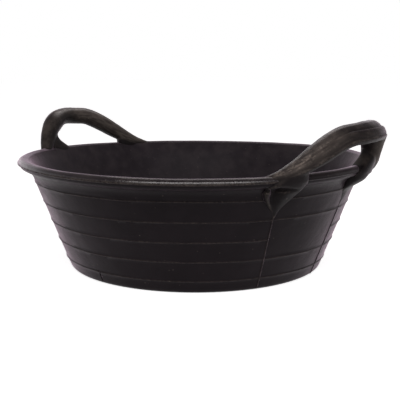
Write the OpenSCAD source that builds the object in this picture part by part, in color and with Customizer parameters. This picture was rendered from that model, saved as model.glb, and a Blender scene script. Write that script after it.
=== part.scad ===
// Round rubber feed tub with a rolled rim and two looped carrying handles.
// It is laid up from separate rubber pieces that are cured together in one mould.
// Sizes are in millimetres. The origin is the centre of the underside, +Z is up,
// the handles stand on +X and -X, and the front is -Y.

/* [Tub] */
// Height of the top of the rim above the ground
tub_h = 144; // [120:1:180]
// Diameter where the line of the wall meets the ground
base_d = 338; // [310:1:380]
// Diameter where the line of the wall reaches the height of the rim
mouth_d = 449; // [420:1:500]
// Thickness of the wall
wall_t = 7; // [5:0.5:9]
// Thickness of the floor
floor_t = 8; // [6:0.5:12]
// Outer rounding between wall and floor
corner_r = 7; // [5:0.5:12]
// Inner rounding between wall and floor
inner_corner_r = 12; // [8:1:18]

/* [Rim] */
// Thickness of the rolled bead of the rim
bead_d = 14; // [12:0.5:17]
// How far the middle of the bead stands outside the line of the wall
bead_out = 6.2; // [5:0.1:8]
// Radius of the flare of the wall into the underside of the bead
neck_r = 20; // [12:0.5:22]
// Depth of the step under the bead
lip_step = 2; // [1:0.1:3]
// Thickness of the cord in the bead
rim_cord_d = 6; // [4:0.5:7]
// Height of the flash line that stands out round the bead
flash_h = 0.8; // [0.4:0.1:1.2]

/* [Raised lines] */
// Number of raised hoop lines up the wall
hoops = 5; // [4:1:6]
// Height of the lowest hoop line above the ground
first_hoop_z = 16; // [14:0.5:20]
// Distance of the highest hoop line below the top of the rim
top_hoop_drop = 28; // [26:0.5:34]
// Width of a raised line
line_w = 2.4; // [1.5:0.1:3.5]
// Height of a hoop line above the wall
line_h = 0.9; // [0.5:0.1:1.4]
// Angle from the middle of a handle to each wall seam beside it
seam_a = 17; // [15:0.5:20]

/* [Corner joint] */
// Angle of the joint line in the corner ring, from the middle of the right handle
joint_a = 276; // [260:1:280]
// Width of the joint line
joint_w = 1.6; // [1:0.1:3]
// Depth of the joint line
joint_d = 0.8; // [0.4:0.1:1.5]

/* [Handles] */
// Half the length of rim that a handle grows out of
handle_half = 114; // [104:1:124]
// Rise of the middle of the grip above the middle of the bead
grip_rise = 50; // [44:1:60]
// How far the middle of the grip leans outward of the bead
grip_lean = 27; // [22:1:36]
// How far the top of the grip sits along the rim from the middle of the handle
grip_sway = 14; // [0:1:18]
// Thickness of the grip along its lean
grip_t = 20.5; // [18:0.5:25]
// Width of the grip across its lean
grip_w = 33; // [27:1:36]
// Tilt of the grip section from upright
grip_tilt = 28; // [15:1:38]
// Thickness of the cord in each handle
grip_cord_d = 8; // [5:0.5:10]
// Angle by which each grip sits round from the middle of its two feet
grip_turn = 5; // [0:0.5:6]
// Reach of a foot along the rim from its tip towards the hand gap
foot_open = 32; // [24:1:36]
// Reach of the foot at the shallow end of the grip away from the hand gap
shallow_free = 22; // [16:1:28]
// Reach of the foot at the steep end of the grip away from the hand gap
steep_free = 34; // [26:1:38]
// Width of the foot at the shallow end where it runs into the grip
shallow_root = 14; // [10:1:18]
// Width of the foot at the steep end where it runs into the grip
steep_root = 19; // [14:1:23]
// Rubber of a foot over the bead
foot_cover = 2.2; // [1:0.1:4]
// Depth of the hollow between the two ridges of a foot
foot_hollow = 2.2; // [0:0.1:3]

/* [Hidden] */
$fn = 96;
// Thickness of the bond between a handle and the tub
bond = 0.05;
slope = (mouth_d - base_d) / 2 / tub_h;
wall_a = atan(slope);
// Outside and inside radius of the wall at height z
function wall_r(z) = base_d / 2 + slope * z;
function inside_r(z) = wall_r(z) - wall_t / cos(wall_a);
// Heights of the hoop lines; the second from the top ends the handle feet,
// and the one below it is left out between the seams under a handle
hoop_pitch = (tub_h - top_hoop_drop - first_hoop_z) / (hoops - 1);
function hoop_z(i) = first_hoop_z + i * hoop_pitch;
foot_tip_z = hoop_z(hoops - 2);
bare_hoop = hoops - 3;
// Joints between the pieces of the shell, each a little clear of the rounding or line beside it
FLOOR_LAND = 3;
WALL_LAND = 1;
SEAM_OVER = 0.4;
half_turn = tan((90 - wall_a) / 2);
base_joint_z = max(first_hoop_z + line_w, floor_t + inner_corner_r * half_turn * cos(wall_a) + WALL_LAND);
rim_joint_z = tub_h - top_hoop_drop + line_w;
floor_joint_r = inside_r(floor_t) - inner_corner_r * half_turn - FLOOR_LAND;
seam_h = line_h + SEAM_OVER;
// Rim bead and the curl of the wall into it
bead_r = bead_d / 2;
bead_z = tub_h - bead_r;
bead_x = wall_r(bead_z) + bead_out;
curl_drop = 0.6;
curl_r = (bead_x - inside_r(tub_h - curl_drop)) / (1 / cos(wall_a) - slope);
curl_mid = [bead_x, tub_h - curl_drop - curl_r];

// Points of an arc from angle a0 to a1
function arc(mid, r, a0, a1, steps) =
    [for (i = [0 : steps]) let (a = a0 + (a1 - a0) * i / steps) mid + r * [cos(a), sin(a)]];
function unit(v) = v / norm(v);
function ease(x) = let (k = min(max(x, 0), 1)) k * k * (3 - 2 * k);
// Outside of the wall at height z, raised by h square to it
function skin(z, h) = [wall_r(z) + h * cos(wall_a), z - h * sin(wall_a)];
// Points of one raised hoop line, going up
function hoop_points(z) =
    [for (i = [0 : 4]) skin(z + line_w * (i / 4 - 0.5), line_h * sin(45 * i))];
function hoop_run(from, to, bare) =
    [for (i = [0 : hoops - 1])
        if (hoop_z(i) > from && hoop_z(i) < to && (i != bare)) each hoop_points(hoop_z(i))];

// Middle of the flare under the bead: it touches the wall and a circle inside the bead
neck_shift = base_d / 2 + neck_r / cos(wall_a) - bead_x;
neck_b = neck_shift * slope - bead_z;
neck_c = neck_shift ^ 2 + bead_z ^ 2 - (bead_r - lip_step + neck_r) ^ 2;
neck_z = (-neck_b - sqrt(neck_b ^ 2 - (1 + slope ^ 2) * neck_c)) / (1 + slope ^ 2);
neck_mid = [bead_x + neck_shift + slope * neck_z, neck_z];
neck_end_a = atan2(bead_z - neck_mid.y, bead_x - neck_mid.x);

// Section of the rim from the top of the wall, curling out into the bead; grow enlarges its outer side,
// and filled closes the step under the bead
bead_mid = [bead_x, bead_z];
FLASH_TOP = 1.3;
FLASH_LOW = 0.5;
function flash(grow) =
    let (x = bead_x + bead_r + flash_h + grow)
    [[x, bead_z + FLASH_TOP], [x, bead_z + FLASH_LOW]];
function under_bead(grow, filled) = filled
    ? concat(arc(bead_mid, bead_r + grow, -6, -60, 7),
             arc(neck_mid, neck_r - grow, (neck_end_a + 180 - wall_a) / 2, 180 - wall_a, 5))
    : concat(arc(bead_mid, bead_r - lip_step + grow, -8, neck_end_a - 180, 6),
             arc(neck_mid, neck_r - grow, neck_end_a, 180 - wall_a, 8));
function rim_section(grow, filled) = concat(
    [[inside_r(rim_joint_z), rim_joint_z]],
    arc(curl_mid, curl_r, 180 - wall_a, 100, 6),
    arc(bead_mid, bead_r + grow, 96, 16, 9),
    flash(grow),
    under_bead(grow, filled),
    [skin(rim_joint_z, grow)]);

// Everything inside the outer face of wall and rim, over the arc that one handle spans
module tub_core() {
    core_a = asin(handle_half / bead_x) + grip_turn + 4;
    rotate_extrude(angle = 2 * core_a, start = -core_a, $fn = 180) {
        polygon(rim_section(bond, true));
        polygon([skin(first_hoop_z, bond), skin(rim_joint_z, bond),
                 [inside_r(rim_joint_z), rim_joint_z], [inside_r(first_hoop_z), first_hoop_z]]);
    }
}

module floor_disc() {
    color("#262528")
        cylinder(r = floor_joint_r, h = floor_t);
}

// Corner ring, with the line where the two ends of its strip meet
corner_mid = [base_d / 2 - corner_r * half_turn, corner_r];
module base_band() {
    inner_mid = [inside_r(floor_t) - inner_corner_r * half_turn, floor_t + inner_corner_r];
    color("#262528")
        difference() {
            rotate_extrude()
                polygon(concat(
                    [[floor_joint_r, 0]],
                    arc(corner_mid, corner_r, -90, -wall_a, 8),
                    hoop_run(0, base_joint_z, -1),
                    [skin(base_joint_z, 0), [inside_r(base_joint_z), base_joint_z]],
                    arc(inner_mid, inner_corner_r, -wall_a, -90, 8),
                    [[floor_joint_r, floor_t]]));
            corner_joint();
        }
}

module corner_joint() {
    half_a = asin(joint_w / base_d);
    rotate_extrude(angle = 2 * half_a, start = joint_a - half_a)
        polygon(concat(
            arc(corner_mid, corner_r - joint_d, -70, -wall_a, 6),
            [skin(base_joint_z + WALL_LAND, -joint_d), skin(base_joint_z + WALL_LAND, 2 * line_h)],
            arc(corner_mid, corner_r + 2 * line_h, -wall_a, -70, 6)));
}

// Part of the wall from angle a0 to a1; one hoop line may be left bare
module wall_arc(a0, a1, bare) {
    color("#29272b")
        rotate_extrude(angle = a1 - a0, start = a0)
            polygon(concat(
                [[inside_r(base_joint_z), base_joint_z], skin(base_joint_z, 0)],
                hoop_run(base_joint_z, rim_joint_z, bare),
                [skin(rim_joint_z, 0), [inside_r(rim_joint_z), rim_joint_z]]));
}

module front_wall_panel() {
    wall_arc(180 + seam_a, 360 - seam_a, -1);
}

module rear_wall_panel() {
    wall_arc(seam_a, 180 - seam_a, -1);
}

module right_wall_panel() {
    wall_arc(-seam_a, seam_a, bare_hoop);
}

module left_wall_panel() {
    wall_arc(180 - seam_a, 180 + seam_a, bare_hoop);
}

// Raised strip over the joint of two wall panels, from the corner up to the handle foot
module seam(a) {
    half_a = asin(line_w / 2 / wall_r(foot_tip_z));
    low_z = corner_r * half_turn * cos(wall_a);
    color("#2d2b2e")
        rotate_extrude(angle = 2 * half_a, start = a - half_a)
            polygon(concat(
                [skin(low_z, seam_h), skin(low_z, 0)],
                hoop_run(low_z, foot_tip_z - line_w, -1),
                [skin(foot_tip_z - line_w, 0), skin(foot_tip_z - line_w, seam_h)]));
}

module right_front_seam() {
    seam(-seam_a);
}

module right_rear_seam() {
    seam(seam_a);
}

module left_front_seam() {
    seam(180 + seam_a);
}

module left_rear_seam() {
    seam(180 - seam_a);
}

module rim_bead() {
    color("#2b292c")
        rotate_extrude()
            difference() {
                polygon(rim_section(0, false));
                translate(bead_mid)
                    circle(d = rim_cord_d);
            }
}

module rim_cord() {
    color("#8d8574")
        rotate_extrude()
            translate(bead_mid)
                circle(d = rim_cord_d);
}

// Middle line of a handle at u, from -1 to 1 along the rim
GRIP_RINGS = 36;
GRIP_SIDES = 18;
DOME = 0.41;
ROOT_IN = 2;
STEEP_FROM = 0.3;
STEEP_RUN = 0.52;
ROOT_THIN = 1.4;
root_r = bead_r - ROOT_THIN;
function bump(x, p) = sign(x) * abs(x) ^ p;
function dome(u) = 1 - DOME * u ^ 2;
// Share of the rise at u: the loop leaves the rim slowly at the shallow end and quickly at the steep end
function lift(u) = dome(u) * (1 - (u < 0 ? ease((-u - 0.2) / 0.8) : ease((u - STEEP_FROM) / STEEP_RUN)));
function grip_mid(u) =
    let (y = handle_half * u)
    [sqrt(bead_x ^ 2 - y ^ 2) + grip_lean * dome(u) * (1 - ease(abs(u)))
         - ROOT_IN * ease((abs(u) - 0.6) / 0.3),
     y + grip_sway * lift(u),
     bead_z + grip_rise * lift(u)];
function grip_along(u) = unit(grip_mid(min(u + 0.01, 1)) - grip_mid(max(u - 0.01, -1)));
function grip_size(u, full) = root_r + (full / 2 - root_r) * (1 - ease((abs(u) - 0.4) / 0.6));
// Ring of points round the middle line, with half its thickness and half its width; box below 1 squares it
function grip_ring(u, thick, wide, sides, box) =
    let (along = grip_along(u),
         lean = [sin(grip_tilt), 0, cos(grip_tilt)],
         over = unit(lean - (lean * along) * along),
         across = cross(along, over))
    [for (i = [0 : sides - 1])
        let (a = 360 * (i + 0.5) / sides)
        grip_mid(u) + thick * bump(cos(a), box) * over + wide * bump(sin(a), box) * across];
function grip_rings(from, to) =
    [for (i = [from : to])
        let (u = 2 * i / GRIP_RINGS - 1)
        grip_ring(u, grip_size(u, grip_t), grip_size(u, grip_w), GRIP_SIDES,
                  1 - 0.24 * (1 - ease((abs(u) - 0.6) / 0.4)))];

// Solid through a list of rings that all have the same number of points
module through(rings) {
    n = len(rings[0]);
    last = len(rings) - 1;
    points = [for (r = rings) each r];
    sides = [for (k = [0 : last - 1]) for (i = [0 : n - 1])
        let (a = k * n + i, b = k * n + (i + 1) % n)
        each [[a, b + n, b], [a, a + n, b + n]]];
    ends = [[for (i = [0 : n - 1]) i], [for (i = [0 : n - 1]) last * n + n - 1 - i]];
    polyhedron(points = points, faces = concat(sides, ends));
}

module grip_core() {
    through([for (i = [0 : GRIP_RINGS])
        grip_ring(2 * i / GRIP_RINGS - 1, grip_cord_d / 2, grip_cord_d / 2, 10, 1)]);
}

module grip_cord() {
    color("#8d8574")
        difference() {
            grip_core();
            tub_core();
        }
}

module grip() {
    color("#2f2c2f")
        difference() {
            through(grip_rings(0, GRIP_RINGS));
            tub_core();
            grip_core();
        }
}

// Outside of wall and bead at height z
function tub_out(z) =
    max(wall_r(z), abs(z - bead_z) < bead_r ? bead_x + sqrt(bead_r ^ 2 - (z - bead_z) ^ 2) : 0);

// Foot of a handle: from inside the grip at u, out over the bead and down the wall to a point at tip_a.
// Each level section has a ridge at both sides and a shallow hollow between them.
FOOT_RINGS = 20;
FOOT_SIDES = 24;
ROOT_BACK = 5;
ROOT_D = 10;
TIP_H = 0.8;
TIP_W = 1;
BLEND_LOW = 6;
BLEND_END = 4;
HOLLOW_FROM = 16;
SUNK = 4;
function mixed(a, b, k) = a + (b - a) * k;
function foot_ring(k, u, tip_a, free, root_w) =
    let (top = grip_mid(u),
         to_gap = -sign(tip_a),
         top_r = norm([top.x, top.y]),
         top_s = to_gap * (atan2(top.y, top.x) + grip_turn - tip_a) * PI / 180 * top_r,
         z = mixed(foot_tip_z, top.z, k),
         up = (z - foot_tip_z) / (bead_z - foot_tip_z),
         into = ease((z - bead_z + BLEND_LOW) / (top.z - bead_z + BLEND_LOW - BLEND_END)),
         over = min(max((z - bead_z) / (top.z - bead_z), 0), 1),
         free_s = mixed(-free * ease(up / 0.76), top_s - ROOT_BACK, into),
         open_s = mixed(TIP_W + foot_open * ease((up - 0.2) / 0.8), top_s - ROOT_BACK + root_w, into),
         swell = bead_out + bead_r + flash_h + foot_cover,
         face = wall_r(min(z, bead_z)) + TIP_H + swell * ease((up - 0.1) / 0.9),
         outer = max(mixed(face, top_r + ROOT_D, over), tub_out(z) + flash_h + foot_cover * ease(up)),
         inner = mixed(wall_r(min(z, bead_z)) - SUNK, top_r - ROOT_D, ease(over)),
         half = (open_s - free_s) / 2,
         hollow = foot_hollow * ease(up / 0.5) * (1 - into) * min(1, half / HOLLOW_FROM))
    [for (i = [0 : FOOT_SIDES - 1])
        let (turn = 360 * i / FOOT_SIDES,
             dip = cos(turn) > 0 ? hollow * cos(90 * min(1, abs(sin(turn)) * 1.25)) : 0,
             r = (outer + inner) / 2 + (outer - inner) / 2 * bump(cos(turn), 0.7) - dip,
             s = (open_s + free_s) / 2 + half * bump(sin(turn) * to_gap, 0.85),
             a = tip_a + to_gap * s / r * 180 / PI)
        [r * cos(a), r * sin(a), z]];

module foot(u, tip_a, free, root_w) {
    mid = GRIP_RINGS / 2;
    color("#2d2b2e")
        difference() {
            through([for (k = [0 : FOOT_RINGS]) foot_ring(k / FOOT_RINGS, u, tip_a, free, root_w)]);
            rotate([0, 0, grip_turn])
                through(u < 0 ? grip_rings(0, mid) : grip_rings(mid, GRIP_RINGS));
            tub_core();
        }
}

module right_handle() {
    rotate([0, 0, grip_turn])
        grip();
}

module left_handle() {
    rotate([0, 0, 180 + grip_turn])
        grip();
}

module right_handle_cord() {
    rotate([0, 0, grip_turn])
        grip_cord();
}

module left_handle_cord() {
    rotate([0, 0, 180 + grip_turn])
        grip_cord();
}

module right_front_foot() {
    foot(-0.64, -seam_a, shallow_free, shallow_root);
}

module right_rear_foot() {
    foot(0.56, seam_a, steep_free, steep_root);
}

module left_front_foot() {
    rotate([0, 0, 180])
        foot(0.56, seam_a, steep_free, steep_root);
}

module left_rear_foot() {
    rotate([0, 0, 180])
        foot(-0.64, -seam_a, shallow_free, shallow_root);
}

floor_disc();
base_band();
front_wall_panel();
rear_wall_panel();
right_wall_panel();
left_wall_panel();
right_front_seam();
right_rear_seam();
left_front_seam();
left_rear_seam();
rim_bead();
rim_cord();
right_handle();
left_handle();
right_handle_cord();
left_handle_cord();
right_front_foot();
right_rear_foot();
left_front_foot();
left_rear_foot();
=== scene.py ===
import math

import bpy
import numpy as np
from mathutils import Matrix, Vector, noise
from mathutils.kdtree import KDTree


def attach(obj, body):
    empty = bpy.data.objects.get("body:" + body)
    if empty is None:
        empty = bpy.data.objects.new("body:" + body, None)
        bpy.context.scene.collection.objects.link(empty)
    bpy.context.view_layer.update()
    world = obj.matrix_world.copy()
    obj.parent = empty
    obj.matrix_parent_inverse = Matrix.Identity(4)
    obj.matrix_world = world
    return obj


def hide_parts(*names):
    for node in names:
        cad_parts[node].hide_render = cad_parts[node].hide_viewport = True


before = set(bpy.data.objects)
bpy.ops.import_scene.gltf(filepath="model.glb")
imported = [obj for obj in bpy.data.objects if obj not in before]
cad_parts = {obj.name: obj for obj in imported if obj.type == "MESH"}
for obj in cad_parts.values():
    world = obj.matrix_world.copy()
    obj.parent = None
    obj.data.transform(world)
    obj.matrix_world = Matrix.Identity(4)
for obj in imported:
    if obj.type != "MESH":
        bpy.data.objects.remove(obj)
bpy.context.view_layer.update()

# Sizes in millimetres and angles in degrees, as in the part's source
TUB_H, BASE_D, MOUTH_D = 144.0, 338.0, 449.0
WALL_T, FLOOR_T, CORNER_R, INNER_CORNER_R = 7.0, 8.0, 7.0, 12.0
BEAD_D, BEAD_OUT, NECK_R, LIP_STEP = 14.0, 6.2, 20.0, 2.0
HOOPS, FIRST_HOOP_Z, TOP_HOOP_DROP, LINE_W, LINE_H = 5, 16.0, 28.0, 2.4, 0.9
SEAM_A = 17.0
JOINT_A, JOINT_W, JOINT_D = 276.0, 1.6, 0.8
HANDLE_HALF, GRIP_RISE, GRIP_LEAN, GRIP_SWAY, ROOT_IN = 114.0, 50.0, 27.0, 14.0, 2.0
GRIP_TURN, GRIP_DOME, FULL_FROM, ROOT_R, GRIP_CORD_D = 5.0, 0.41, 0.4, 5.6, 8.0

# Sizes of the forms that only this scene has
EDGE_IN, EDGE_DROP, EDGE_R, KNEE = 8.0, 1.8, 1.4, 11.0
BEAD_FROM_A, BEAD_TO_A, STEP_A = 96, 4, -8
FLASH_LEAST = 0.3
FLOOR_JOINT_IN, HUB_R, FLOOR_MARGIN = 3, 0.01, 2
CORNER_GAP, CORNER_FADE, GROOVE_FADE, GROOVE_SOFT = 0.3, 12, 3, 1.6
LINE_SHARE, LINE_ROUND = 0.9, 1.4
STRIP_FROM, STRIP_OVER, STRIP_SINK, STRIP_SHARE, STRIP_ROUND = 0.55, 2, 0.6, 0.95, 0.7
SAG_FROM, SAG_RUN, SAG_MEAN, SAG_TWIST, SAG_TILT = 112, 26, 0.6, 1.3, 0.7
TWIST_A, TILT_A, HANDLE_A = 225, 318, 4

# Unevenness of the rubber, as waves of height in millimetres, turns per millimetre and shift of the pattern
SHEET = ((0.55, 0.016, 3.1), (0.22, 0.05, 9.7))
INNER_SHEET = ((0.5, 0.02, 21.0), (0.15, 0.07, 4.0))
FLOOR_SHEET = ((0.6, 0.02, 2.0),)
BEAD_SHEET = ((0.35, 0.03, 13.0),)
LINE_LAY = ((0.5, 0.05, 7.0),)
LINE_WANDER = ((0.55, 0.012, 5.0),)
GROOVE_WANDER = ((0.5, 0.12, 6.0),)
STRIP_WANDER = ((0.8, 0.03, 11.0),)
STRIP_LAY = ((0.15, 0.2, 1.0),)
FLASH_TEAR = ((0.8, 0.35, 17.0),)
FLASH_FRAY = ((0.4, 0.9, 19.0),)
# Heights and spacings in the noise that keep the patterns of different lines apart
LAY_Z, WANDER_APART, STRIP_APART, BEAD_APART = 40.0, 7, 3, 0.2

# Shares of dust and wear. The last is the share of the rim's wear, gloss and flash left under a handle, where
# less wear and gloss is painted shade of the strap
INSIDE_FILM, LINE_WEAR, STRIP_WEAR, LIP_WEAR, TOP_WEAR, LEFT_IN_HANDLE_SHADE = 0.24, 0.35, 0.4, 0.6, 0.1, 0.15

# Fineness of the meshes
STRAP_POINTS, STRAP_STEPS, FOOT_POINTS, FOOT_STEPS = 72, 72, 36, 36
STRAP_MARKS, CORD_FROM, CORD_TO = 400, 4, 69
WALL_STEP, WALL_TURN, WALL_LEAST, INNER_ROWS = 3.2, 0.75, 12, 30
CORNER_STEPS, BEAD_STEPS, STEP_STEPS, NECK_STEPS, KNEE_POINTS, EDGE_POINTS = 12, 38, 8, 12, 10, 7
RING_TURNS, FLOOR_TURNS, RIM_TURNS, FLOOR_ROWS = 480, 180, 1080, 18
STRIP_ROWS, STRIP_POINTS, HOOP_STEPS = 90, 9, 8
GROOVE_SIDE, GROOVE_STEP_A, GROOVE_SHIFT_A = 12, 0.08, 0.01
SHARP_A = 50

# Lengths in metres
MM, MM_PER_M = 0.001, 1000
VOXEL = 0.001
FLOOR_HALF, FLOOR_DROP = 12, 0.0004

BLACK, WHITE = (0, 0, 0, 1), (1, 1, 1, 1)

SLOPE = (MOUTH_D - BASE_D) / 2 / TUB_H
WALL_A = math.degrees(math.atan(SLOPE))
CA, SA = math.cos(math.radians(WALL_A)), math.sin(math.radians(WALL_A))
BEAD_R = BEAD_D / 2
BEAD_Z = TUB_H - BEAD_R
HOOP_PITCH = (TUB_H - TOP_HOOP_DROP - FIRST_HOOP_Z) / (HOOPS - 1)


def wall_r(z):
    return BASE_D / 2 + SLOPE * z


def inside_r(z):
    return wall_r(z) - WALL_T / CA


BEAD_X = wall_r(BEAD_Z) + BEAD_OUT


def hoop_z(i):
    return FIRST_HOOP_Z + HOOP_PITCH * i


FOOT_TIP_Z = hoop_z(HOOPS - 2)
BASE_JOINT_Z = hoop_z(0) + LINE_W
RIM_JOINT_Z = hoop_z(HOOPS - 1) + LINE_W


# Curves and places
def ease(x):
    """From 0 to 1 with a soft start and end."""
    k = min(max(x, 0.0), 1.0)
    return k * k * (3 - 2 * k)


def rise(x, start, run):
    return ease((x - start) / run)


def rise_all(x, start, run):
    """The same for a whole array."""
    k = np.clip((x - start) / run, 0, 1)
    return k * k * (3 - 2 * k)


def bell(x, mid, half):
    return math.exp(-((x - mid) / half) ** 2)


def power(x, p):
    return math.copysign(abs(x) ** p, x)


def steps(a, b, n):
    return [a + (b - a) * i / n for i in range(n + 1)]


def bend(a, b, c, n):
    """Points of a soft corner from a to c that turns near b."""
    return [tuple((1 - k) ** 2 * a[i] + 2 * k * (1 - k) * b[i] + k * k * c[i] for i in (0, 1))
            for k in (m / (n - 1) for m in range(n))]


def arc(mid, r, a0, a1, n):
    return [(mid[0] + r * math.cos(math.radians(a)), mid[1] + r * math.sin(math.radians(a)))
            for a in steps(a0, a1, n)]


def point(r, a, z):
    return (r * math.cos(math.radians(a)), r * math.sin(math.radians(a)), z)


def push(r, z, d):
    """Moves a point of a profile by d, square to the wall."""
    return r + d * CA, z - d * SA


def skin(z, d):
    return push(wall_r(z), z, d)


def turn(p, deg):
    c, s = math.cos(math.radians(deg)), math.sin(math.radians(deg))
    return np.array([p[0] * c - p[1] * s, p[0] * s + p[1] * c, p[2]])


def uneven(p, waves):
    """Height of soft noise at a point, added up over its waves."""
    total = 0.0
    for high, scale, shift in waves:
        spot = Vector((p[0] * scale + shift, p[1] * scale - shift, p[2] * scale + 0.37 * shift))
        total += high * noise.noise(spot)
    return total


# Camera at the viewing angle of the photograph
AZ, EL, DIST = math.radians(47.7), math.radians(10.22), 1.0573
cam_data = bpy.data.cameras.new("camera")
cam = bpy.data.objects.new("camera", cam_data)
bpy.context.scene.collection.objects.link(cam)
aim = Vector((0, 0, 0.0722))
cam.location = aim + DIST * Vector((math.sin(AZ) * math.cos(EL), -math.cos(AZ) * math.cos(EL), math.sin(EL)))
cam.rotation_euler = (aim - cam.location).to_track_quat("-Z", "Y").to_euler()
cam_data.lens, cam_data.sensor_width = 69.43, 36.0
cam_data.shift_x, cam_data.shift_y = 0.0114, 0.0183
cam_data.clip_start, cam_data.clip_end = 0.01, 50
bpy.context.scene.camera = cam


# Node helpers
def new_material(name):
    mat = bpy.data.materials.new(name)
    mat.use_nodes = True
    tree = mat.node_tree
    tree.nodes.clear()
    return mat, tree


def add(tree, kind, **values):
    n = tree.nodes.new(kind)
    for key, value in values.items():
        n.inputs[key.replace("_", " ")].default_value = value
    return n


def link(tree, a, b):
    tree.links.new(a, b)


def attribute(tree, name):
    n = add(tree, "ShaderNodeAttribute")
    n.attribute_name = name
    return n.outputs["Fac"]


def ramp(tree, fac, low, high, c0=BLACK, c1=WHITE):
    r = add(tree, "ShaderNodeValToRGB")
    r.color_ramp.elements[0].position, r.color_ramp.elements[1].position = low, high
    r.color_ramp.elements[0].color, r.color_ramp.elements[1].color = c0, c1
    link(tree, fac, r.inputs["Fac"])
    return r.outputs["Color"]


def mix(tree, fac, a, b):
    m = add(tree, "ShaderNodeMix")
    m.data_type = "RGBA"
    for socket, value in ((m.inputs["Factor"], fac), (m.inputs[6], a), (m.inputs[7], b)):
        if isinstance(value, tuple):
            socket.default_value = (*value, 1)
        else:
            link(tree, value, socket)
    return m.outputs[2]


def calc(tree, op, a, b):
    m = add(tree, "ShaderNodeMath")
    m.operation = op
    m.use_clamp = True
    for socket, value in zip(m.inputs, (a, b)):
        if isinstance(value, float):
            socket.default_value = value
        else:
            link(tree, value, socket)
    return m.outputs[0]


def rubber(name, dark, light, dust, dusty, film, rough, grain, spec, sheen):
    """Vulcanised rubber: cloudy black with worn edges, and dust as a haze, films, patches and specks. Some of
    the film, wear and haze is painted light and shade.
    """
    mat, tree = new_material(name)
    out = add(tree, "ShaderNodeOutputMaterial")
    bsdf = add(tree, "ShaderNodeBsdfPrincipled")
    # Hands and ropes polish the top of the rim and the grips
    polish = attribute(tree, "gloss")
    shine = add(tree, "ShaderNodeMapRange", To_Min=spec, To_Max=spec + 0.6)
    link(tree, polish, shine.inputs["Value"])
    link(tree, shine.outputs[0], bsdf.inputs["Specular IOR Level"])
    # Fine dust makes a haze where the rubber is seen edge on. It is cut back on faces that look down, as
    # painted shade under overhangs such as the lip
    up = add(tree, "ShaderNodeSeparateXYZ")
    link(tree, add(tree, "ShaderNodeNewGeometry").outputs["Normal"], up.inputs[0])
    haze = add(tree, "ShaderNodeMapRange", From_Min=-0.70, From_Max=-0.42, To_Min=0.1 * sheen, To_Max=sheen)
    link(tree, up.outputs["Z"], haze.inputs["Value"])
    link(tree, haze.outputs[0], bsdf.inputs["Sheen Weight"])
    bsdf.inputs["Sheen Roughness"].default_value = 0.26
    bsdf.inputs["Sheen Tint"].default_value = (1.0, 0.77, 0.94, 1)
    link(tree, bsdf.outputs[0], out.inputs[0])
    spot = add(tree, "ShaderNodeTexCoord").outputs["Object"]

    def clouds(scale, detail, roughness=0.55):
        n = add(tree, "ShaderNodeTexNoise", Scale=scale, Detail=detail, Roughness=roughness)
        link(tree, spot, n.inputs["Vector"])
        return n.outputs["Fac"]

    cloud = clouds(14, 4)
    blotch = clouds(55, 5)
    fine = clouds(420, 3)
    base = mix(tree, ramp(tree, cloud, 0.32, 0.68), dark, light)
    # Wear along edges comes from the mesh, broken up by noise. It also carries a handle's dust streaks, which
    # are partly a painted highlight, and it is cut back as painted shade on the rim under the handles
    worn = calc(tree, "MULTIPLY", attribute(tree, "wear"), ramp(tree, fine, 0.35, 0.7))
    base = mix(tree, worn, base, dusty)
    # The inside and the handles are grey with a film of feed dust; on the handles part of the film is painted
    # light
    patches = ramp(tree, blotch, 0.25, 0.8, (0.5, 0.5, 0.5, 1))
    base = mix(tree, calc(tree, "MULTIPLY", attribute(tree, "inside"), patches), base, film)
    # Dust lies on faces that look up, in thin patches
    lying = calc(tree, "MULTIPLY", ramp(tree, up.outputs["Z"], 0.1, 0.9), ramp(tree, blotch, 0.42, 0.72))
    base = mix(tree, calc(tree, "MULTIPLY", lying, dust), base, dusty)
    # Single specks of dried feed and dust
    cells = add(tree, "ShaderNodeTexVoronoi", Scale=260.0)
    link(tree, spot, cells.inputs["Vector"])
    few = add(tree, "ShaderNodeSeparateColor")
    link(tree, cells.outputs["Color"], few.inputs[0])
    crumbs = ramp(tree, cells.outputs["Distance"], 0.10, 0.22, WHITE, BLACK)
    speck = calc(tree, "MULTIPLY", crumbs, ramp(tree, few.outputs[0], 0.955, 0.97))
    base = mix(tree, calc(tree, "MULTIPLY", speck, 0.6), base, dusty)
    link(tree, base, bsdf.inputs["Base Color"])
    # Worn edges are duller and polished faces smoother than the rest
    dull = add(tree, "ShaderNodeMapRange", To_Min=rough - 0.08, To_Max=rough + 0.12)
    link(tree, blotch, dull.inputs["Value"])
    rough_all = calc(tree, "ADD", dull.outputs[0], calc(tree, "MULTIPLY", worn, 0.2))
    rough_all = calc(tree, "SUBTRACT", rough_all, calc(tree, "MULTIPLY", polish, 0.2))
    link(tree, rough_all, bsdf.inputs["Roughness"])
    # Mould grain over a slow unevenness of the sheet
    slow = add(tree, "ShaderNodeBump", Strength=0.35, Distance=0.0012)
    link(tree, blotch, slow.inputs["Height"])
    mould = add(tree, "ShaderNodeBump", Strength=grain, Distance=0.0004)
    link(tree, clouds(1100, 3, 0.6), mould.inputs["Height"])
    link(tree, slow.outputs[0], mould.inputs["Normal"])
    link(tree, mould.outputs[0], bsdf.inputs["Normal"])
    return mat


TUB = rubber("tub_rubber", dark=(0.0082, 0.0064, 0.0075), light=(0.0138, 0.0108, 0.0126), dust=0.2,
             dusty=(0.11, 0.092, 0.078), film=(0.098, 0.085, 0.099), rough=0.36, grain=0.25, spec=0.045,
             sheen=1.0)
GRIP = rubber("handle_rubber", dark=(0.0080, 0.0067, 0.0072), light=(0.0140, 0.0118, 0.0122), dust=0.22,
              dusty=(0.22, 0.186, 0.160), film=(0.22, 0.186, 0.160), rough=0.38, grain=0.35, spec=0.04,
              sheen=0.4)


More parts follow.
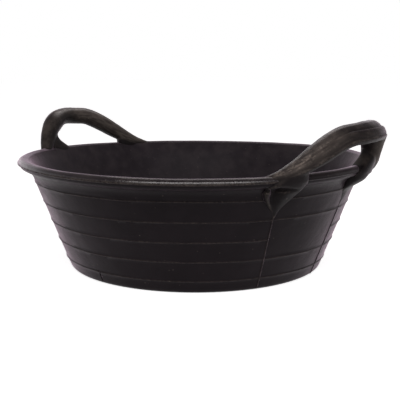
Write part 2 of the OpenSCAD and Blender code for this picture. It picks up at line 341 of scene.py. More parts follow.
def textile(name):
    """Textile cord: slanting strands with a little fuzz."""
    mat, tree = new_material(name)
    out = add(tree, "ShaderNodeOutputMaterial")
    bsdf = add(tree, "ShaderNodeBsdfPrincipled", Roughness=0.85)
    link(tree, bsdf.outputs[0], out.inputs[0])
    spot = add(tree, "ShaderNodeTexCoord").outputs["Object"]
    strands = add(tree, "ShaderNodeTexWave", Scale=160.0, Distortion=2.0, Detail=2.0)
    strands.bands_direction = "DIAGONAL"
    link(tree, spot, strands.inputs["Vector"])
    colour = mix(tree, strands.outputs["Fac"], (0.20, 0.17, 0.13), (0.36, 0.32, 0.25))
    link(tree, colour, bsdf.inputs["Base Color"])
    twist = add(tree, "ShaderNodeBump", Strength=0.6, Distance=0.0008)
    link(tree, strands.outputs["Fac"], twist.inputs["Height"])
    link(tree, twist.outputs[0], bsdf.inputs["Normal"])
    return mat


CORD = textile("cord_textile")


# Meshes
def sag(v):
    """The soft rim tilts and twists: it is high on one side of each handle and low on the other."""
    a = math.atan2(v[1], v[0])
    twist = SAG_TWIST * math.cos(2 * a - math.radians(2 * TWIST_A))
    lift = SAG_MEAN + twist + SAG_TILT * math.cos(a - math.radians(TILT_A))
    return (MM * v[0], MM * v[1], MM * (v[2] + lift * rise(v[2], SAG_FROM, SAG_RUN)))


def store(me, key, values):
    """Gives each point of a mesh a value that the materials read by its name."""
    data = me.attributes.new(key, "FLOAT", "POINT").data
    data.foreach_set("value", np.asarray(values, dtype=np.float32))


def put(name, verts, faces, material, wear=None, inside=None, gloss=None):
    me = bpy.data.meshes.new(name)
    me.from_pydata([sag(v) for v in verts], [], faces)
    me.validate()
    ob = bpy.data.objects.new(name, me)
    bpy.context.scene.collection.objects.link(ob)
    me.materials.append(material)
    for key, values in (("wear", wear), ("inside", inside), ("gloss", gloss)):
        if values is not None:
            store(me, key, values)
    me.polygons.foreach_set("use_smooth", [True] * len(me.polygons))
    me.set_sharp_from_angle(angle=math.radians(SHARP_A))
    me.update()
    return ob


def revolve(name, profile, angles, material, nudge, wear=None, inside=None, gloss=None):
    """A closed profile of (r, z) points turned through the angles. nudge(a, j, r, z) moves each point."""
    full = angles[-1] - angles[0] > 359.999
    if full:
        angles = angles[:-1]
    n, cols = len(profile), len(angles)
    verts, worn, within, polished = [], [], [], []
    for a in angles:
        for j, (r, z) in enumerate(profile):
            r, z = nudge(a, j, r, z)
            verts.append(point(r, a, z))
            worn.append(wear(a, j) if wear else 0.0)
            within.append(inside(j) if inside else 0.0)
            polished.append(gloss(a, j) if gloss else 0.0)
    faces = []
    for i in range(cols if full else cols - 1):
        i2 = (i + 1) % cols
        for j in range(n):
            j2 = (j + 1) % n
            faces.append((i * n + j, i2 * n + j, i2 * n + j2, i * n + j2))
    if not full:
        faces.append(tuple(range(n)))
        faces.append(tuple(range((cols - 1) * n + n - 1, (cols - 1) * n - 1, -1)))
    return put(name, verts, faces, material, worn, within, polished if gloss else None)


def loft(rings):
    """A closed skin over a row of rings that have the same number of points."""
    n = len(rings[0])
    verts = [p for r in rings for p in r]
    faces = []
    for k in range(len(rings) - 1):
        for i in range(n):
            a, b = k * n + i, k * n + (i + 1) % n
            faces.append((a, b, b + n, a + n))
    last = (len(rings) - 1) * n
    faces.append(tuple(range(n - 1, -1, -1)))
    faces.append(tuple(last + i for i in range(n)))
    return verts, faces


# Wall panels. A profile has points (r, z, raise), where raise is None on the inside
def hoop_points(z):
    return [(*skin(z + LINE_W * (k - 0.5), 0), LINE_H * math.sin(math.pi * k) ** LINE_ROUND)
            for k in steps(0, 1, HOOP_STEPS)]


def outer_run(z0, z1, bare=None):
    """Outside of the wall from z0 up to z1, with the hoop lines on it but for the one numbered bare."""
    pts, z = [], z0
    stops = [hoop_z(i) for i in range(HOOPS) if z0 < hoop_z(i) < z1 and i != bare]
    for stop in stops + [None]:
        end = z1 if stop is None else stop - LINE_W / 2
        n = max(1, int((end - z) / WALL_STEP))
        pts += [(*skin(z + (end - z) * i / n, 0), 0.0) for i in range(n)]
        if stop is not None:
            pts += hoop_points(stop)[:-1]
            z = stop + LINE_W / 2
    pts.append((*skin(z1, 0), 0.0))
    return pts


def line_height(up, p):
    """The raised lines are laid by hand, thicker and thinner round the tub."""
    return up * (LINE_SHARE + uneven((p[0], p[1], LAY_Z), LINE_LAY))


def line_wear(up):
    return LINE_WEAR * (up / LINE_H) if up else 0.0


def film_inside(up):
    return INSIDE_FILM if up is None else 0.0


def wall(name, node, a0, a1, bare=None):
    outer = outer_run(BASE_JOINT_Z, RIM_JOINT_Z, bare)
    inner = [(inside_r(z), z, None) for z in steps(RIM_JOINT_Z, BASE_JOINT_Z, INNER_ROWS)]
    panel = outer + inner

    def nudge(a, j, r, z):
        up = panel[j][2]
        p = point(r, a, z)
        if up is None:
            return push(r, z, uneven(p, INNER_SHEET))
        r2, z2 = push(r, z, uneven(p, SHEET) + line_height(up, p))
        # The lines wander a little up and down, each in its own way
        dz = uneven((p[0], p[1], WANDER_APART * round(z / HOOP_PITCH)), LINE_WANDER) if up else 0.0
        return r2 + SLOPE * dz, z2 + dz

    angles = steps(a0, a1, max(WALL_LEAST, int((a1 - a0) / WALL_TURN)))
    ob = revolve(name, [p[:2] for p in panel], angles, TUB, nudge,
                 lambda a, j: line_wear(panel[j][2]), lambda j: film_inside(panel[j][2]))
    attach(ob, "root")
    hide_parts(node)


wall("front_wall", "front_wall_panel", 180 + SEAM_A, 360 - SEAM_A)
wall("rear_wall", "rear_wall_panel", SEAM_A, 180 - SEAM_A)
wall("right_wall", "right_wall_panel", -SEAM_A, SEAM_A, HOOPS - 3)
wall("left_wall", "left_wall_panel", 180 - SEAM_A, 180 + SEAM_A, HOOPS - 3)

# Corner ring and floor
half_turn = math.tan(math.radians((90 - WALL_A) / 2))
corner_mid = (BASE_D / 2 - CORNER_R * half_turn, CORNER_R)
inner_mid = (inside_r(FLOOR_T) - INNER_CORNER_R * half_turn, FLOOR_T + INNER_CORNER_R)
corner_top = CORNER_R - CORNER_R * SA
floor_joint_r = inner_mid[0] - FLOOR_JOINT_IN
outer = [(floor_joint_r, 0.0, 0.0)]
outer += [(*p, 0.0) for p in arc(corner_mid, CORNER_R, -90, -WALL_A, CORNER_STEPS)]
outer += outer_run(outer[-1][1] + CORNER_GAP, BASE_JOINT_Z)
inner = [(inside_r(BASE_JOINT_Z), BASE_JOINT_Z, None)]
inner += [(*p, None) for p in arc(inner_mid, INNER_CORNER_R, -WALL_A, -90, CORNER_STEPS)]
inner += [(floor_joint_r, FLOOR_T, None)]
ring = outer + inner


def ring_nudge(a, j, r, z):
    up = ring[j][2]
    if j == 0 or up is None:
        return r, z
    p = point(r, a, z)
    d = ease(z / CORNER_FADE) * uneven(p, SHEET) + line_height(up, p)
    # The ends of the strip meet in a groove
    off = math.radians(a - JOINT_A) * r + uneven((0, 0, z), GROOVE_WANDER)
    d -= JOINT_D * ease(GROOVE_SOFT - abs(off) / JOINT_W * 2) * ease(z / GROOVE_FADE)
    r2, z2 = push(r, z, d)
    return r2, max(0.0, z2)


# More points stand close together at the groove
groove_angles = [JOINT_A + GROOVE_STEP_A * i + GROOVE_SHIFT_A for i in range(-GROOVE_SIDE, GROOVE_SIDE + 1)]
ring_angles = sorted(steps(0, 360, RING_TURNS) + groove_angles)
ob = revolve("corner_ring", [p[:2] for p in ring], ring_angles, TUB, ring_nudge,
             lambda a, j: line_wear(ring[j][2]), lambda j: film_inside(ring[j][2]))
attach(ob, "root")
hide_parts("base_band")

disc = [(HUB_R, 0.0), (floor_joint_r, 0.0), (floor_joint_r, FLOOR_T)]
disc += [(floor_joint_r * (1 - i / FLOOR_ROWS), FLOOR_T) for i in range(1, FLOOR_ROWS)]
disc += [(HUB_R, FLOOR_T)]


def disc_nudge(a, j, r, z):
    if z < FLOOR_T or r > floor_joint_r - FLOOR_MARGIN or r <= HUB_R:
        return r, z
    return r, z + uneven(point(r, a, 0), FLOOR_SHEET)


ob = revolve("floor", disc, steps(0, 360, FLOOR_TURNS), TUB, disc_nudge, None,
             lambda j: INSIDE_FILM if j > 1 else 0.0)
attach(ob, "root")
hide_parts("floor_disc")


# Raised strips over the panel joints, from the corner up to the tips of the feet
def strip_point(a, z, j, shift):
    t = 2 * j / (STRIP_POINTS - 1) - 1
    lift = -STRIP_SINK
    if 0 < j < STRIP_POINTS - 1:
        lift = LINE_H * STRIP_SHARE * (1 - t * t) ** STRIP_ROUND + uneven((a, STRIP_APART * j, z), STRIP_LAY)
    if z < corner_top:
        k = math.acos((CORNER_R - z) / CORNER_R)
        r0 = corner_mid[0] + (CORNER_R + lift) * math.sin(k)
        z0 = CORNER_R - (CORNER_R + lift) * math.cos(k)
    else:
        r0, z0 = skin(z, lift)
    r0 += uneven(point(r0, a, z), SHEET) * CA * ease(z / CORNER_FADE)
    return turn((r0, LINE_W / 2 * t + shift, max(z0, 0)), a)


def strip_wear(j):
    return STRIP_WEAR * (1 - abs(2 * j / (STRIP_POINTS - 1) - 1))


for node, a in (("right_front_seam", -SEAM_A), ("right_rear_seam", SEAM_A),
                ("left_front_seam", 180 + SEAM_A), ("left_rear_seam", 180 - SEAM_A)):
    rows = []
    for z in steps(corner_top * STRIP_FROM, FOOT_TIP_Z + STRIP_OVER, STRIP_ROWS):
        shift = uneven((a, 0, z), STRIP_WANDER)
        rows.append([strip_point(a, z, j, shift) for j in range(STRIP_POINTS)])
    verts, faces = loft(rows)
    ob = put(node + "_strip", verts, faces, TUB, [strip_wear(j) for j in range(STRIP_POINTS)] * len(rows))
    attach(ob, "root")
    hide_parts(node)

# Rolled rim with its rough flash line. The neck's arc touches the wall below and the lip's step above
neck_shift = BASE_D / 2 + NECK_R / CA - BEAD_X
neck_b = neck_shift * SLOPE - BEAD_Z
neck_c = neck_shift ** 2 + BEAD_Z ** 2 - (BEAD_R - LIP_STEP + NECK_R) ** 2
neck_z = (-neck_b - math.sqrt(neck_b ** 2 - (1 + SLOPE ** 2) * neck_c)) / (1 + SLOPE ** 2)
neck_mid = (BEAD_X + neck_shift + SLOPE * neck_z, neck_z)
neck_end_a = math.degrees(math.atan2(BEAD_Z - neck_mid[1], BEAD_X - neck_mid[0]))
# Inside, the wall leans out softly to a narrow edge beside the bead
edge = (BEAD_X - EDGE_IN, TUB_H - EDGE_DROP)
knee = (inside_r(RIM_JOINT_Z + KNEE), RIM_JOINT_Z + KNEE)
lean = (edge[0] - knee[0]) / (edge[1] - knee[1])
edge_from = (edge[0] - lean * EDGE_R, edge[1] - EDGE_R)
edge_to = (edge[0] + EDGE_R, edge[1] + EDGE_R / 5)
rim = bend((inside_r(RIM_JOINT_Z), RIM_JOINT_Z), knee, edge_from, KNEE_POINTS)
rim += bend(edge_from, edge, edge_to, EDGE_POINTS)[1:]
top0 = len(rim)
rim += arc((BEAD_X, BEAD_Z), BEAD_R, BEAD_FROM_A, BEAD_TO_A, BEAD_STEPS)
top1 = len(rim)
rim += arc((BEAD_X, BEAD_Z), BEAD_R - LIP_STEP, STEP_A, neck_end_a - 180, STEP_STEPS)
rim += arc(neck_mid, NECK_R, neck_end_a, 180 - WALL_A, NECK_STEPS)[1:]
rim += [skin(RIM_JOINT_Z, 0)]
bead_angles = steps(BEAD_FROM_A, BEAD_TO_A, BEAD_STEPS)
# Bells round the roll, as a middle and a half width in degrees, and stretches, as a start and a run
FLASH_BELL, LIP_BELL, TOP_BELL = (6, 7), (8, 12), (60, 30)
POLISH_FROM, POLISH_TO = (12, 14), (60, 25)
# The strap's painted shade on the rim reaches this far from the middle of a handle, and the rim is clean this
# many points before the bead
HANDLE_SHADE_REACH, CLEAN_EDGE = (14, 10), (-7, 6)


def away_from_handle_shade(a):
    """Share of the rim's wear, gloss and flash kept under a handle; the duller, darker rim there is painted
    shade of the strap.
    """
    off = min(abs((a - mid + 180) % 360 - 180) for mid in (HANDLE_A, HANDLE_A + 180))
    return LEFT_IN_HANDLE_SHADE + (1 - LEFT_IN_HANDLE_SHADE) * rise(off, *HANDLE_SHADE_REACH)


def rim_nudge(a, j, r, z):
    if top0 <= j < top1:
        k = bead_angles[j - top0]
        x, y, _ = point(BEAD_X, a, 0)
        swell = BEAD_R + uneven((x, y, k * BEAD_APART), BEAD_SHEET)
        # The flash is a torn edge along the bottom of the lip, trimmed under the handles
        torn = FLASH_LEAST + uneven((x, y, 0), FLASH_TEAR) + uneven((x, y, k), FLASH_FRAY)
        swell += bell(k, *FLASH_BELL) * away_from_handle_shade(a) * torn
        return BEAD_X + swell * math.cos(math.radians(k)), BEAD_Z + swell * math.sin(math.radians(k))
    # The two ends meet the wall and move with it
    if j == 0:
        return push(r, z, uneven(point(r, a, z), INNER_SHEET))
    if j == len(rim) - 1:
        return push(r, z, uneven(point(r, a, z), SHEET))
    return r, z


def rim_wear(a, j):
    if top0 <= j < top1:
        k = bead_angles[j - top0]
        # Less wear under a handle is painted shade of the strap
        return away_from_handle_shade(a) * LIP_WEAR * bell(k, *LIP_BELL) + TOP_WEAR * bell(k, *TOP_BELL)
    return 0.0


def rim_film(j):
    """The film of dust ends a little below the inner edge."""
    return INSIDE_FILM * (1 - rise(j - top0, *CLEAN_EDGE)) if j < top0 else 0.0


def rim_gloss(a, j):
    if top0 <= j < top1:
        k = bead_angles[j - top0]
        # Less gloss under a handle is painted shade of the strap
        return rise(k, *POLISH_FROM) * (1 - rise(k, *POLISH_TO)) * away_from_handle_shade(a)
    return 0.0


ob = revolve("rolled_rim", rim, steps(0, 360, RIM_TURNS), TUB, rim_nudge, rim_wear, rim_film, rim_gloss)
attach(ob, "root")
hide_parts("rim_bead")

# Handles with their feet. A place u along a strap runs from -1 at its shallow end to 1 at its steep end.
# The near loop is tilted outward and faceted, the far one is rounder and stands more upright.
# Shape: tilt in degrees, thick and wide in millimetres, slow for where the shallow leg begins, from and run
# for the fall of the steep leg, arch for how round that fall is, slump outward and along, peak and its slant,
# facets for their depth, soft for rounds of smoothing, web and waist for the fuller and slimmer steep leg.
# Looks: rub for worn edges; end for the lighter film towards both ends, which is painted light on the strap's
# bends; dust for the film on the top and inner side, partly painted light on the far loop.
NEAR = {"tilt": 28.0, "thick": 20.5, "wide": 33.0, "slow": 0.22, "from": 0.31, "run": 0.53, "arch": 0.0,
        "slump": (-2.0, -4.0), "peak": (1.0, 0.12), "facets": 1.0, "soft": 4, "web": 0.25, "waist": 0.0,
        "rub": 0.35, "end": 0.7, "dust": 0.0}
FAR = {"tilt": 10.0, "thick": 25.0, "wide": 28.5, "slow": 0.2, "from": -0.03, "run": 0.845, "arch": 1.0,
       "slump": (-1.0, 2.0), "peak": (1.0, 0.0), "facets": 0.15, "soft": 14, "web": 0.2, "waist": 0.09,
       "rub": 0.1, "end": 0.0, "dust": 0.36}
# The feet: u where one leaves the strap, the angle of its tip, how far it spreads from there to the free side
# and towards the hand, its width at the strap, then its swell up the wall and the share that is hollow
SHALLOW_FOOT = {"u": -0.64, "tip": -SEAM_A, "free": 22, "reach": 30, "root": 20,
                "from": 0.1, "run": 0.9, "swell": 16.2, "hollow": 0.92}
STEEP_FOOT = {"u": 0.56, "tip": SEAM_A, "free": 34, "reach": 19, "root": 25,
              "from": 0.44, "run": 0.41, "swell": 18.8, "hollow": 0.45}
# Corners of the strap's section, as an angle from its top towards its outer side and a share of its half size
FACETS = ((-38, 1.03), (-12, 1.07), (35, 1.03), (78, 1.06), (112, 1.02), (150, 0.99), (210, 0.99), (268, 1.0))
STRAP_US = steps(-1, 1, STRAP_STEPS)
U_STEP, ARCH_POWER = 0.01, 2.5

# Bells and stretches along the strap, in u
WEB_BELL, WAIST_BELL = (0.4, 0.17), (0.52, 0.13)
ROOT_STRETCH, STRAP_END, FOLD_END = (0.6, 0.3), (0.8, 0.15), (0.3, 0.2)
FACETS_SHALLOW, FACETS_STEEP = (0.7, 0.3), (0.28, 0.2)
STREAKS_SHALLOW, PAINTED_LIGHT_ENDS, FILM_TOP = (0.28, 0.3), (0.2, 0.25), (0.1, 0.3)
FILM_INNER, GLOSS_END = (-0.15, 0.4), (0.2, 0.2)

# Bells round the strap's section, in degrees from its top towards its outer side
FOLDS = ((14, 4), (60, 4))
STREAK_BELL, SHALLOW_HIGHLIGHT_BELL, TOP_SIDE = (10, 26), (25, 40), (0, 60)
INNER_SIDE, UNDERSIDE, GLOSS_BELL = (-100, 50), (180, 80), (-34, 22)

# The strap's edge in half sizes, its start above the rim and the crease on the foot in millimetres
STRAP_EDGE, ABOVE_RIM = (1.15, 0.2), (2, 10)
CREASE_DROP, CREASE_W, CREASE_D, CREASE_FROM, CREASE_TO = 8.5, 1.8, 2.2, (-26, 6), (6, 14)

# Lumps: height, two scales per millimetre and the share of the second. Streaks: scales along and round
LUMP_H, LUMP_COARSE, LUMP_FINE, FINE_SHARE = 0.35, 0.06, 0.17, 0.4
STREAK_ALONG, STREAK_ROUND = 14, 0.09
STRONG_STREAKS, FAINT_STREAKS, INNER_STREAKS, RUBBED = (-0.25, 0.5), (0.1, 0.4), (-0.3, 0.5), (0.03, 0.10)

# The section of a foot: cover on the wall, depth in it, back edge and half depth at the strap, in millimetres
FOOT_COVER, FOOT_SINK, ROOT_BACK, ROOT_HALF = 0.8, 4, 11.0, 10.5
BLEND_BELOW, BLEND_PAST, HOLLOW_HALF = 6, 2, 16
# Heights as shares from tip to bead: full on the free side, towards the hand, and where the hollow is
FREE_FULL, HAND_SOFT, HAND_STRETCH, HOLLOW_FULL, HOLLOW_END = 0.76, 0.35, (0.2, 0.8), 0.4, (0.80, 0.11)
FOOT_FLAT, FOOT_ROUND, HOLLOW_BELL = 0.58, 0.92, (-0.4, 0.3)


def dome(u):
    return 1 - GRIP_DOME * u * u


def grip_lift(u, h):
    """Height of the strap's middle line, as a share of its rise."""
    shallow = 1 - rise(-u, h["slow"], 1 - h["slow"])
    fall = (u - h["from"]) / h["run"]
    steep = 1 - (1 - h["arch"]) * ease(fall) - h["arch"] * min(max(fall, 0), 1) ** ARCH_POWER
    return dome(u) * (h["peak"][0] + h["peak"][1] * u) * shallow * steep


def grip_mid(u, h):
    y = HANDLE_HALF * u
    lift = grip_lift(u, h)
    lean = GRIP_LEAN * dome(u) * (1 - ease(abs(u))) - ROOT_IN * rise(abs(u), *ROOT_STRETCH)
    return np.array([math.sqrt(BEAD_X ** 2 - y ** 2) + lean + h["slump"][0] * lift,
                     y + (GRIP_SWAY + h["slump"][1]) * lift, BEAD_Z + GRIP_RISE * lift])


def grip_frame(u, h):
    """Directions through the strap, from its underside to its top and from its inner to its outer side."""
    d = grip_mid(min(u + U_STEP, 1), h) - grip_mid(max(u - U_STEP, -1), h)
    along = d / np.linalg.norm(d)
    t = math.radians(h["tilt"])
    lean = np.array([math.sin(t), 0, math.cos(t)])
    over = lean - lean.dot(along) * along
    over /= np.linalg.norm(over)
    return over, np.cross(along, over)


def grip_half(u, full):
    return ROOT_R + (full / 2 - ROOT_R) * (1 - rise(abs(u), FULL_FROM, 1 - FULL_FROM))


def facet_radius(deg):
    """Distance of the faceted section from its middle, straight from corner to corner."""
    for (a0, r0), (a1, r1) in zip(FACETS, FACETS[1:] + ((FACETS[0][0] + 360, FACETS[0][1]),)):
        d = (deg - a0) % 360
        if d <= a1 - a0:
            e, f = math.radians(a1 - a0), math.radians(d)
            return r0 * r1 * math.sin(e) / (r0 * math.sin(f) + r1 * math.sin(e - f))


SECTION = [facet_radius(360 * i / STRAP_POINTS) for i in range(STRAP_POINTS)]


def strap_ring(u, h, thick, wide, facets, web):
    over, across = grip_frame(u, h)
    mid = grip_mid(u, h)
    # The underside is fuller where the loop bends into its steep leg, which is slimmer half way down
    fuller = 1 + web * bell(u, *WEB_BELL)
    slim = 1 - h["waist"] * bell(u, *WAIST_BELL)
    ring = []
    for i in range(STRAP_POINTS):
        c, s = math.cos(2 * math.pi * i / STRAP_POINTS), math.sin(2 * math.pi * i / STRAP_POINTS)
        r = slim * (1 + facets * (SECTION[i] - 1))
        ring.append(mid + (fuller if c < 0 else 1) * r * thick * c * over + r * wide * s * across)
    return ring


def foot_ring(k, foot, h):
    """Level section of a foot: two ridges with a hollow, widening from the tip and closing into the strap."""
    side_to = 1 if foot["tip"] < 0 else -1
    top = grip_mid(foot["u"], h)
    top_r = math.hypot(top[0], top[1])
    top_a = math.degrees(math.atan2(top[1], top[0])) + GRIP_TURN
    s_top = side_to * math.radians(top_a - foot["tip"]) * top_r
    z = FOOT_TIP_Z + (top[2] - FOOT_TIP_Z) * k
    kz = (z - FOOT_TIP_Z) / (BEAD_Z - FOOT_TIP_Z)
    # Its two sides, as lengths round the tub from the tip: on the wall, then blended into the strap
    b = ease((z - BEAD_Z + BLEND_BELOW) / (top[2] - BEAD_Z + BLEND_PAST))
    spread = min(1.0, HAND_SOFT * rise(kz, *HAND_STRETCH) + (1 - HAND_SOFT) * kz)
    e0 = (1 - b) * -foot["free"] * ease(kz / FREE_FULL) + b * (s_top - ROOT_BACK)
    e1 = (1 - b) * (1 + foot["reach"] * spread) + b * (s_top - ROOT_BACK + foot["root"])
    mid_s, half = (e0 + e1) / 2, (e1 - e0) / 2
    # Its outer and inner face, as radii
    if z < BEAD_Z:
        outer = wall_r(z) + FOOT_COVER + foot["swell"] * rise(kz, foot["from"], foot["run"])
        inner = wall_r(z) - FOOT_SINK
    else:
        m = (z - BEAD_Z) / (top[2] - BEAD_Z)
        outer = (wall_r(BEAD_Z) + FOOT_COVER + foot["swell"]) * (1 - m) + (top_r + ROOT_HALF) * m
        inner = (wall_r(BEAD_Z) - FOOT_SINK) * (1 - ease(m)) + (top_r - ROOT_HALF) * ease(m)
    # The hollow grows from the tip, ends below the bead and is less where the foot is narrow
    valley = foot["hollow"] * (outer - wall_r(min(z, BEAD_Z))) * ease(kz / HOLLOW_FULL)
    valley *= (1 - rise(kz, *HOLLOW_END)) * min(1.0, half / HOLLOW_HALF)
    ring = []
    for i in range(FOOT_POINTS):
        t = 2 * math.pi * i / FOOT_POINTS
        c, s = math.cos(t), math.sin(t)
        o = (outer + inner) / 2 + (outer - inner) / 2 * power(c, FOOT_FLAT)
        if c > 0:
            # The hollow lies nearer the side away from the hand
            o -= valley * bell(s, *HOLLOW_BELL)
        q = (mid_s + half * power(s, FOOT_ROUND)) * side_to
        ring.append(np.array(point(o, foot["tip"] + math.degrees(q / max(o, 1)), z)))
    return ring


def handle_body(name, around, h):
    """The strap and its feet, closed lofts that are joined under one skin and softened."""
    rings = []
    for u in STRAP_US:
        facets = h["facets"] * (1 - rise(-u, *FACETS_SHALLOW)) * (1 - rise(u, *FACETS_STEEP))
        ring = strap_ring(u, h, grip_half(u, h["thick"]), grip_half(u, h["wide"]), facets, h["web"])
        rings.append([turn(p, GRIP_TURN) for p in ring])
    lofts = [loft(rings)]
    for foot in (SHALLOW_FOOT, STEEP_FOOT):
        lofts.append(loft([foot_ring(k, foot, h) for k in steps(0, 1, FOOT_STEPS)]))
    verts, faces = [], []
    for loft_verts, loft_faces in lofts:
        base = len(verts)
        verts += [turn(p, around) for p in loft_verts]
        faces += [tuple(base + i for i in face) for face in loft_faces]
    ob = put(name, verts, faces, GRIP)
    skin_over = ob.modifiers.new("skin", "REMESH")
    skin_over.mode, skin_over.voxel_size, skin_over.use_smooth_shade = "VOXEL", VOXEL, True
    soften = ob.modifiers.new("soft", "SMOOTH")
    soften.factor, soften.iterations = 0.5, h["soft"]
    evaluated = ob.evaluated_get(bpy.context.evaluated_depsgraph_get())
    me = bpy.data.meshes.new_from_object(evaluated)
    ob.modifiers.clear()
    ob.data = me
    if not me.materials:
        me.materials.append(GRIP)
    return ob


def strap_places(co, around, h):
    """Each point's place along the strap, its angle round the section and its distance in half sizes."""
    count = 2 * STRAP_MARKS + 1
    tree = KDTree(count)
    marks = []
    for k in range(count):
        u = k / STRAP_MARKS - 1
        over, across = grip_frame(u, h)
        mid = turn(grip_mid(u, h), GRIP_TURN + around)
        tree.insert(mid, k)
        marks.append((u, *mid, *(turn(over, GRIP_TURN + around) / grip_half(u, h["thick"])),
                      *(turn(across, GRIP_TURN + around) / grip_half(u, h["wide"]))))
    tree.balance()
    marks = np.array(marks)[[tree.find(p)[1] for p in co]]
    off = co - marks[:, 1:4]
    over, across = (off * marks[:, 4:7]).sum(1), (off * marks[:, 7:10]).sum(1)
    return marks[:, 0], np.degrees(np.arctan2(across, over)), np.hypot(over, across)


def standing_out(me, co, no):
    """How far each point stands out from its neighbours, evened out a little."""
    count = len(me.vertices)
    ends = np.empty(len(me.edges) * 2, np.int32)
    me.edges.foreach_get("vertices", ends)
    e0, e1 = ends[0::2], ends[1::2]
    neighbours = np.bincount(ends, minlength=count).clip(1)[:, None]

    def spread(x):
        total = np.zeros((count, x.shape[1]))
        np.add.at(total, e0, x[e1])
        np.add.at(total, e1, x[e0])
        return total / neighbours

    convex = ((co - spread(co)) * no).sum(1)[:, None]
    for _ in range(3):
        convex = 0.5 * convex + 0.5 * spread(convex)
    return convex[:, 0]


def handle(name, around, nodes, h):
    ob = handle_body(name, around, h)
    me = ob.data
    count = len(me.vertices)
    co, no = np.empty(count * 3, np.float32), np.empty(count * 3, np.float32)
    me.vertices.foreach_get("co", co)
    me.vertex_normals.foreach_get("vector", no)
    co, no = co.reshape(-1, 3) * MM_PER_M, no.reshape(-1, 3)
    u, angle, reach = strap_places(co, around, h)
    on_strap = (1 - rise_all(reach, *STRAP_EDGE)) * (1 - rise_all(np.abs(u), *STRAP_END))
    above = rise_all(co[:, 2] - BEAD_Z, *ABOVE_RIM)

    def stripe(mid, half):
        """A soft band along the strap at an angle of its section."""
        return np.exp(-(((angle - mid + 180) % 360 - 180) / half) ** 2)

    lumps = np.array([noise.noise(Vector(p) * LUMP_COARSE) + FINE_SHARE * noise.noise(Vector(p) * LUMP_FINE)
                      for p in co])
    folds = h["facets"] * sum(stripe(*fold) for fold in FOLDS) * on_strap * above
    folds = folds * (1 - rise_all(u, *FOLD_END))
    # The roll of the rim runs on over the shallow foot, with a crease below it
    spin = (np.degrees(np.arctan2(co[:, 1], co[:, 0])) - around + SEAM_A + 180) % 360 - 180
    along = np.radians(spin) * np.hypot(co[:, 0], co[:, 1])
    crease = np.exp(-((co[:, 2] - BEAD_Z + CREASE_DROP) / CREASE_W) ** 2)
    crease = crease * rise_all(along, *CREASE_FROM) * (1 - rise_all(along, *CREASE_TO))
    co = co + no * (LUMP_H * lumps - folds - CREASE_D * crease)[:, None]
    me.vertices.foreach_set("co", (co / MM_PER_M).astype(np.float32).ravel())

    # Edges that stand out are rubbed grey, and dust lies in streaks along the strap. On the top and outer
    # face of the shallow end the streaks are strengthened as a painted highlight
    rubbed = rise_all(standing_out(me, co, no), *RUBBED)
    streak = np.array([noise.noise(Vector((STREAK_ALONG * k, STREAK_ROUND * m, around)))
                       for k, m in zip(u, angle)])
    # Strong streaks on the shallow end's top and outer face: dust and painted highlight
    dusty = stripe(*STREAK_BELL) * rise_all(-u, *STREAKS_SHALLOW) * rise_all(streak, *STRONG_STREAKS)
    dusty = 0.9 * dusty + 0.10 * rise_all(streak, *FAINT_STREAKS)
    wear = h["rub"] * rubbed * (1.8 - 0.8 * above) + on_strap * above * dusty
    # A film of dust lies on the strap, but not on its underside. Towards the ends it is painted light where
    # light falls on the strap's bends
    not_under = 1 - stripe(*UNDERSIDE)
    # The steep end is lighter as painted light, and the band on the shallow end is a painted highlight
    ends = rise_all(u, *PAINTED_LIGHT_ENDS) * not_under + 0.27 * stripe(*SHALLOW_HIGHLIGHT_BELL) * rise_all(-u, *PAINTED_LIGHT_ENDS)
    # Film on the top and inner side, used on the far loop: dust, and painted light on its faces towards the
    # lamps
    top = stripe(*TOP_SIDE) * (1 - 0.8 * rise_all(u, *FILM_TOP))
    inner = stripe(*INNER_SIDE) * rise_all(-u, *FILM_INNER) * (0.45 + 0.55 * rise_all(streak, *INNER_STREAKS))
    film = on_strap * above * (0.03 * not_under + h["end"] * ends + h["dust"] * (top + inner))
    gloss = on_strap * above * stripe(*GLOSS_BELL) * (1 - rise_all(u, *GLOSS_END))
    store(me, "wear", np.clip(wear, 0, 1))
    store(me, "inside", np.clip(film, 0, 1))
    store(me, "gloss", gloss)
    me.polygons.foreach_set("use_smooth", [True] * len(me.polygons))
    me.update()
    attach(ob, "root")
    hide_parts(*nodes)
    # The cord inside follows the same line
    rings = [strap_ring(u, h, GRIP_CORD_D / 2, GRIP_CORD_D / 2, 0, 0) for u in STRAP_US[CORD_FROM:CORD_TO]]
    verts, faces = loft([[turn(p, GRIP_TURN + around) for p in ring] for ring in rings])
    rope = put(name + "_rope", verts, faces, CORD)
    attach(rope, "root")
    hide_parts(nodes[0] + "_cord")


handle("right_handle_loop", 0, ("right_handle", "right_front_foot", "right_rear_foot"), NEAR)
handle("left_handle_loop", 180, ("left_handle", "left_front_foot", "left_rear_foot"), FAR)

# The cord sealed in the rim keeps its solid
rim_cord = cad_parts["rim_cord"].data
rim_cord.materials.clear()
rim_cord.materials.append(CORD)

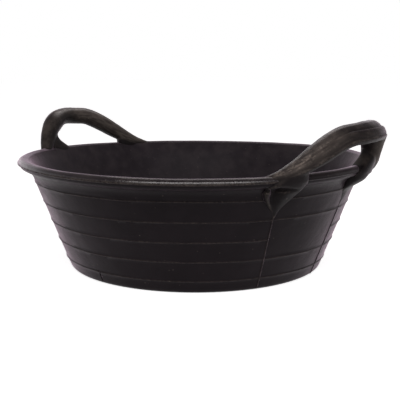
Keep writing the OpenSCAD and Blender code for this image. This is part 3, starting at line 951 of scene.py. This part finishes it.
# A floor card that the camera sees as white
bpy.context.scene.view_settings.view_transform = "Standard"
mat, tree = new_material("floor_card")
out = add(tree, "ShaderNodeOutputMaterial")
card = add(tree, "ShaderNodeBsdfDiffuse", Color=(0.80, 0.80, 0.80, 1))
glow = add(tree, "ShaderNodeEmission", Color=WHITE, Strength=0.80)
both = add(tree, "ShaderNodeAddShader")
rays = add(tree, "ShaderNodeLightPath")
pick = add(tree, "ShaderNodeMixShader")
link(tree, card.outputs[0], both.inputs[0])
link(tree, glow.outputs[0], both.inputs[1])
seen = calc(tree, "ADD", rays.outputs["Is Camera Ray"],
            calc(tree, "ADD", rays.outputs["Is Glossy Ray"], rays.outputs["Is Transmission Ray"]))
link(tree, seen, pick.inputs[0])
link(tree, card.outputs[0], pick.inputs[1])
link(tree, both.outputs[0], pick.inputs[2])
link(tree, pick.outputs[0], out.inputs[0])
card_mesh = bpy.data.meshes.new("studio_floor")
corners = [(-FLOOR_HALF, -FLOOR_HALF, 0), (FLOOR_HALF, -FLOOR_HALF, 0),
           (FLOOR_HALF, FLOOR_HALF, 0), (-FLOOR_HALF, FLOOR_HALF, 0)]
card_mesh.from_pydata(corners, [], [(0, 1, 2, 3)])
card_mesh.materials.append(mat)
studio_floor = bpy.data.objects.new("studio_floor", card_mesh)
bpy.context.scene.collection.objects.link(studio_floor)
studio_floor.location.z = -FLOOR_DROP

# White cloth round the table, falling off to a dim ceiling
world = bpy.data.worlds.new("studio")
bpy.context.scene.world = world
world.use_nodes = True
tree = world.node_tree
tree.nodes.clear()
out = add(tree, "ShaderNodeOutputWorld")
level = add(tree, "ShaderNodeSeparateXYZ")
link(tree, add(tree, "ShaderNodeTexCoord").outputs["Generated"], level.inputs[0])
cloth = add(tree, "ShaderNodeBackground", Strength=1.0)
link(tree, ramp(tree, level.outputs["Z"], 0.12, 0.55, WHITE, (0.16, 0.14, 0.15, 1)), cloth.inputs["Color"])
link(tree, cloth.outputs[0], out.inputs[0])


# Two soft lamps that face the tub
LAMP_AIM = Vector((0, 0, 0.1))


def lamp(name, place, watts, wide, high, colour):
    data = bpy.data.lights.new(name, "AREA")
    data.shape = "RECTANGLE"
    data.energy, data.size, data.size_y, data.color = watts, wide, high, colour
    holder = bpy.data.objects.new(name, data)
    holder.location = place
    holder.rotation_euler = (LAMP_AIM - holder.location).to_track_quat("-Z", "Y").to_euler()
    bpy.context.scene.collection.objects.link(holder)


lamp("back_soft", (-0.55, 0.6, 1.3), 4, 1.2, 0.5, (1.0, 0.94, 0.92))
lamp("front_soft", (0.84, -0.77, 1.25), 13, 2.0, 0.35, (1.0, 0.95, 0.95))
